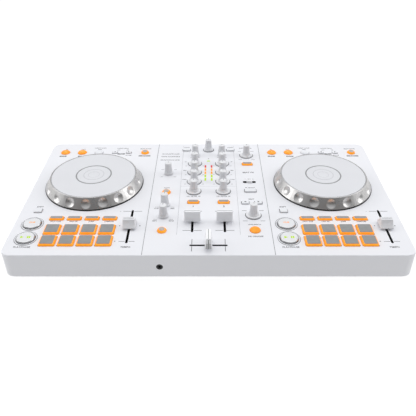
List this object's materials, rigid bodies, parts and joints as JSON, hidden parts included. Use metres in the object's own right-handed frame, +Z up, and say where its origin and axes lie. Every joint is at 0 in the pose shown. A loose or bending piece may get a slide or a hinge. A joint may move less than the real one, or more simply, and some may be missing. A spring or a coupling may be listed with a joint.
{
  "type": "dj controller",
  "caption": "Flat two-deck DJ controller with jog wheels, pads, tempo sliders and a central two-channel mixer of knobs, faders and keys.",
  "frame": {"origin": "centre of the case, on the surface that the feet stand on", "axes": "+X to the user's right along the case's width, +Y away from the user, +Z up"},
  "size_m": [0.482, 0.2724, 0.0586],
  "materials": {
    "case_white": "fine satin",
    "key_white": "satin",
    "knob_white": "soft matte",
    "key_orange": "translucent, lit from inside",
    "pad_grey": "matte silicone with a lit edge",
    "jog_silver": "metallic silver paint",
    "jog_plate": "satin",
    "board_green": "solder mask",
    "socket_black": "matte",
    "rubber_black": "matte"
  },
  "bodies": {
    "case": {"upper_case": "case_white", "bottom_tray": "case_white", "main_board": "board_green", "rear_jack_board": "socket_black", "phones_socket": "socket_black", "front_foot": "rubber_black", "rear_foot": "rubber_black"},
    "jog_left": {"jog_ring_left": "jog_silver", "jog_plate_left": "jog_plate"},
    "jog_right": {"jog_ring_right": "jog_silver", "jog_plate_right": "jog_plate"},
    "crossfader_cap": {"crossfader_cap": "knob_white"},
    "channel_fader_cap_1": {"channel_fader_cap_1": "knob_white"},
    "channel_fader_cap_2": {"channel_fader_cap_2": "knob_white"},
    "tempo_cap_left": {"tempo_cap_left": "knob_white"},
    "tempo_cap_right": {"tempo_cap_right": "knob_white"},
    "browse_shaft": {"browse_shaft": "socket_black"},
    "browse_knob": {"browse_knob": "knob_white"},
    "filter_knob_1": {"filter_knob_1": "knob_white"},
    "low_knob_1": {"low_knob_1": "knob_white"},
    "mid_knob_1": {"mid_knob_1": "knob_white"},
    "high_knob_1": {"high_knob_1": "knob_white"},
    "trim_knob_1": {"trim_knob_1": "knob_white"},
    "filter_knob_2": {"filter_knob_2": "knob_white"},
    "low_knob_2": {"low_knob_2": "knob_white"},
    "mid_knob_2": {"mid_knob_2": "knob_white"},
    "high_knob_2": {"high_knob_2": "knob_white"},
    "trim_knob_2": {"trim_knob_2": "knob_white"},
    "mic_level_knob": {"mic_level_knob": "knob_white"},
    "phones_mix_knob": {"phones_mix_knob": "knob_white"},
    "phones_level_knob": {"phones_level_knob": "knob_white"},
    "master_level_knob": {"master_level_knob": "knob_white"},
    "effect_level_knob": {"effect_level_knob": "knob_white"},
    "effect_channel_switch": {"effect_channel_switch": "knob_white"},
    "play_key_left": {"play_key_left": "key_white"},
    "cue_key_left": {"cue_key_left": "key_white"},
    "pad_mat_left": {"pad_mat_left": "pad_grey"},
    "mode_keys_left": {"mode_keys_left": "key_orange"},
    "loop_keys_left": {"loop_keys_left": "key_orange"},
    "sync_key_left": {"sync_key_left": "key_orange"},
    "shift_key_left": {"shift_key_left": "key_white"},
    "call_keys_left": {"call_keys_left": "key_white"},
    "play_key_right": {"play_key_right": "key_white"},
    "cue_key_right": {"cue_key_right": "key_white"},
    "pad_mat_right": {"pad_mat_right": "pad_grey"},
    "mode_keys_right": {"mode_keys_right": "key_orange"},
    "loop_keys_right": {"loop_keys_right": "key_orange"},
    "sync_key_right": {"sync_key_right": "key_orange"},
    "shift_key_right": {"shift_key_right": "key_white"},
    "call_keys_right": {"call_keys_right": "key_white"},
    "channel_cue_key_1": {"channel_cue_key_1": "key_orange"},
    "load_key_1": {"load_key_1": "key_white"},
    "channel_cue_key_2": {"channel_cue_key_2": "key_orange"},
    "load_key_2": {"load_key_2": "key_white"},
    "master_cue_key": {"master_cue_key": "key_orange"},
    "effect_on_key": {"effect_on_key": "key_orange"},
    "effect_select_key": {"effect_select_key": "key_white"},
    "beat_keys": {"beat_keys": "key_white"},
    "filter_assist_key": {"filter_assist_key": "key_orange"},
    "fader_assist_key": {"fader_assist_key": "key_orange"}
  },
  "joints": [
    {"name": "jog_spin_left", "type": "hinge", "parent": "case", "child": "jog_left", "pos_m": [-0.15748, 0.01895, 0.0411], "axis": [0, 0, 1], "continuous": true},
    {"name": "jog_spin_right", "type": "hinge", "parent": "case", "child": "jog_right", "pos_m": [0.15748, 0.01895, 0.0411], "axis": [0, 0, 1], "continuous": true},
    {"name": "crossfader_slide", "type": "slide", "parent": "case", "child": "crossfader_cap", "axis": [1, 0, 0], "range_m": [-0.02, 0.02]},
    {"name": "channel_fader_slide_1", "type": "slide", "parent": "case", "child": "channel_fader_cap_1", "axis": [0, 1, 0], "range_m": [-0.0174, 0.0226]},
    {"name": "channel_fader_slide_2", "type": "slide", "parent": "case", "child": "channel_fader_cap_2", "axis": [0, 1, 0], "range_m": [-0.0174, 0.0226]},
    {"name": "tempo_slide_left", "type": "slide", "parent": "case", "child": "tempo_cap_left", "axis": [0, 1, 0], "range_m": [-0.03, 0.03]},
    {"name": "tempo_slide_right", "type": "slide", "parent": "case", "child": "tempo_cap_right", "axis": [0, 1, 0], "range_m": [-0.03, 0.03]},
    {"name": "browse_press", "type": "slide", "parent": "case", "child": "browse_shaft", "axis": [0, 0, -1], "range_m": [0, 0.0005], "stiffness_N_per_m": 900, "springref_m": -0.001},
    {"name": "browse_turn", "type": "hinge", "parent": "browse_shaft", "child": "browse_knob", "pos_m": [0, 0.117, 0.0411], "axis": [0, 0, 1], "continuous": true},
    {"name": "filter_turn_1", "type": "hinge", "parent": "case", "child": "filter_knob_1", "pos_m": [-0.02, -0.0003, 0.0411], "axis": [0, 0, 1], "range_deg": [-150, 150]},
    {"name": "low_turn_1", "type": "hinge", "parent": "case", "child": "low_knob_1", "pos_m": [-0.02, 0.0247, 0.0411], "axis": [0, 0, 1], "range_deg": [-150, 150]},
    {"name": "mid_turn_1", "type": "hinge", "parent": "case", "child": "mid_knob_1", "pos_m": [-0.02, 0.0497, 0.0411], "axis": [0, 0, 1], "range_deg": [-150, 150]},
    {"name": "high_turn_1", "type": "hinge", "parent": "case", "child": "high_knob_1", "pos_m": [-0.02, 0.0747, 0.0411], "axis": [0, 0, 1], "range_deg": [-150, 150]},
    {"name": "trim_turn_1", "type": "hinge", "parent": "case", "child": "trim_knob_1", "pos_m": [-0.02, 0.0997, 0.0411], "axis": [0, 0, 1], "range_deg": [-150, 150]},
    {"name": "filter_turn_2", "type": "hinge", "parent": "case", "child": "filter_knob_2", "pos_m": [0.02, -0.0003, 0.0411], "axis": [0, 0, 1], "range_deg": [-150, 150]},
    {"name": "low_turn_2", "type": "hinge", "parent": "case", "child": "low_knob_2", "pos_m": [0.02, 0.0247, 0.0411], "axis": [0, 0, 1], "range_deg": [-150, 150]},
    {"name": "mid_turn_2", "type": "hinge", "parent": "case", "child": "mid_knob_2", "pos_m": [0.02, 0.0497, 0.0411], "axis": [0, 0, 1], "range_deg": [-150, 150]},
    {"name": "high_turn_2", "type": "hinge", "parent": "case", "child": "high_knob_2", "pos_m": [0.02, 0.0747, 0.0411], "axis": [0, 0, 1], "range_deg": [-150, 150]},
    {"name": "trim_turn_2", "type": "hinge", "parent": "case", "child": "trim_knob_2", "pos_m": [0.02, 0.0997, 0.0411], "axis": [0, 0, 1], "range_deg": [-150, 150]},
    {"name": "mic_level_turn", "type": "hinge", "parent": "case", "child": "mic_level_knob", "pos_m": [-0.057, 0.0465, 0.0411], "axis": [0, 0, 1], "range_deg": [-150, 150]},
    {"name": "phones_mix_turn", "type": "hinge", "parent": "case", "child": "phones_mix_knob", "pos_m": [-0.057, -0.0335, 0.0411], "axis": [0, 0, 1], "range_deg": [-150, 150]},
    {"name": "phones_level_turn", "type": "hinge", "parent": "case", "child": "phones_level_knob", "pos_m": [-0.057, -0.059, 0.0411], "axis": [0, 0, 1], "range_deg": [-150, 150]},
    {"name": "master_level_turn", "type": "hinge", "parent": "case", "child": "master_level_knob", "pos_m": [0.057, 0.0995, 0.0411], "axis": [0, 0, 1], "range_deg": [-150, 150]},
    {"name": "effect_level_turn", "type": "hinge", "parent": "case", "child": "effect_level_knob", "pos_m": [0.057, -0.0565, 0.0411], "axis": [0, 0, 1], "range_deg": [-150, 150]},
    {"name": "effect_channel_slide", "type": "slide", "parent": "case", "child": "effect_channel_switch", "axis": [1, 0, 0], "range_m": [-0.005, 0.005]},
    {"name": "play_press_left", "type": "slide", "parent": "case", "child": "play_key_left", "axis": [0, 0, -1], "range_m": [0, 0.001], "stiffness_N_per_m": 500, "springref_m": -0.001},
    {"name": "cue_press_left", "type": "slide", "parent": "case", "child": "cue_key_left", "axis": [0, 0, -1], "range_m": [0, 0.001], "stiffness_N_per_m": 500, "springref_m": -0.001},
    {"name": "pads_press_left", "type": "slide", "parent": "case", "child": "pad_mat_left", "axis": [0, 0, -1], "range_m": [0, 0.0012], "stiffness_N_per_m": 900, "springref_m": -0.001},
    {"name": "mode_press_left", "type": "slide", "parent": "case", "child": "mode_keys_left", "axis": [0, 0, -1], "range_m": [0, 0.001], "stiffness_N_per_m": 500, "springref_m": -0.001},
    {"name": "loop_press_left", "type": "slide", "parent": "case", "child": "loop_keys_left", "axis": [0, 0, -1], "range_m": [0, 0.001], "stiffness_N_per_m": 500, "springref_m": -0.001},
    {"name": "sync_press_left", "type": "slide", "parent": "case", "child": "sync_key_left", "axis": [0, 0, -1], "range_m": [0, 0.001], "stiffness_N_per_m": 400, "springref_m": -0.001},
    {"name": "shift_press_left", "type": "slide", "parent": "case", "child": "shift_key_left", "axis": [0, 0, -1], "range_m": [0, 0.0008], "stiffness_N_per_m": 400, "springref_m": -0.001},
    {"name": "call_press_left", "type": "slide", "parent": "case", "child": "call_keys_left", "axis": [0, 0, -1], "range_m": [0, 0.0008], "stiffness_N_per_m": 400, "springref_m": -0.001},
    {"name": "play_press_right", "type": "slide", "parent": "case", "child": "play_key_right", "axis": [0, 0, -1], "range_m": [0, 0.001], "stiffness_N_per_m": 500, "springref_m": -0.001},
    {"name": "cue_press_right", "type": "slide", "parent": "case", "child": "cue_key_right", "axis": [0, 0, -1], "range_m": [0, 0.001], "stiffness_N_per_m": 500, "springref_m": -0.001},
    {"name": "pads_press_right", "type": "slide", "parent": "case", "child": "pad_mat_right", "axis": [0, 0, -1], "range_m": [0, 0.0012], "stiffness_N_per_m": 900, "springref_m": -0.001},
    {"name": "mode_press_right", "type": "slide", "parent": "case", "child": "mode_keys_right", "axis": [0, 0, -1], "range_m": [0, 0.001], "stiffness_N_per_m": 500, "springref_m": -0.001},
    {"name": "loop_press_right", "type": "slide", "parent": "case", "child": "loop_keys_right", "axis": [0, 0, -1], "range_m": [0, 0.001], "stiffness_N_per_m": 500, "springref_m": -0.001},
    {"name": "sync_press_right", "type": "slide", "parent": "case", "child": "sync_key_right", "axis": [0, 0, -1], "range_m": [0, 0.001], "stiffness_N_per_m": 400, "springref_m": -0.001},
    {"name": "shift_press_right", "type": "slide", "parent": "case", "child": "shift_key_right", "axis": [0, 0, -1], "range_m": [0, 0.0008], "stiffness_N_per_m": 400, "springref_m": -0.001},
    {"name": "call_press_right", "type": "slide", "parent": "case", "child": "call_keys_right", "axis": [0, 0, -1], "range_m": [0, 0.0008], "stiffness_N_per_m": 400, "springref_m": -0.001},
    {"name": "channel_cue_press_1", "type": "slide", "parent": "case", "child": "channel_cue_key_1", "axis": [0, 0, -1], "range_m": [0, 0.001], "stiffness_N_per_m": 400, "springref_m": -0.001},
    {"name": "load_press_1", "type": "slide", "parent": "case", "child": "load_key_1", "axis": [0, 0, -1], "range_m": [0, 0.0008], "stiffness_N_per_m": 400, "springref_m": -0.001},
    {"name": "channel_cue_press_2", "type": "slide", "parent": "case", "child": "channel_cue_key_2", "axis": [0, 0, -1], "range_m": [0, 0.001], "stiffness_N_per_m": 400, "springref_m": -0.001},
    {"name": "load_press_2", "type": "slide", "parent": "case", "child": "load_key_2", "axis": [0, 0, -1], "range_m": [0, 0.0008], "stiffness_N_per_m": 400, "springref_m": -0.001},
    {"name": "master_cue_press", "type": "slide", "parent": "case", "child": "master_cue_key", "axis": [0, 0, -1], "range_m": [0, 0.001], "stiffness_N_per_m": 400, "springref_m": -0.001},
    {"name": "effect_on_press", "type": "slide", "parent": "case", "child": "effect_on_key", "axis": [0, 0, -1], "range_m": [0, 0.001], "stiffness_N_per_m": 400, "springref_m": -0.001},
    {"name": "effect_select_press", "type": "slide", "parent": "case", "child": "effect_select_key", "axis": [0, 0, -1], "range_m": [0, 0.0008], "stiffness_N_per_m": 400, "springref_m": -0.001},
    {"name": "beat_press", "type": "slide", "parent": "case", "child": "beat_keys", "axis": [0, 0, -1], "range_m": [0, 0.0008], "stiffness_N_per_m": 400, "springref_m": -0.001},
    {"name": "filter_assist_press", "type": "slide", "parent": "case", "child": "filter_assist_key", "axis": [0, 0, -1], "range_m": [0, 0.001], "stiffness_N_per_m": 400, "springref_m": -0.001},
    {"name": "fader_assist_press", "type": "slide", "parent": "case", "child": "fader_assist_key", "axis": [0, 0, -1], "range_m": [0, 0.001], "stiffness_N_per_m": 400, "springref_m": -0.001}
  ]
}
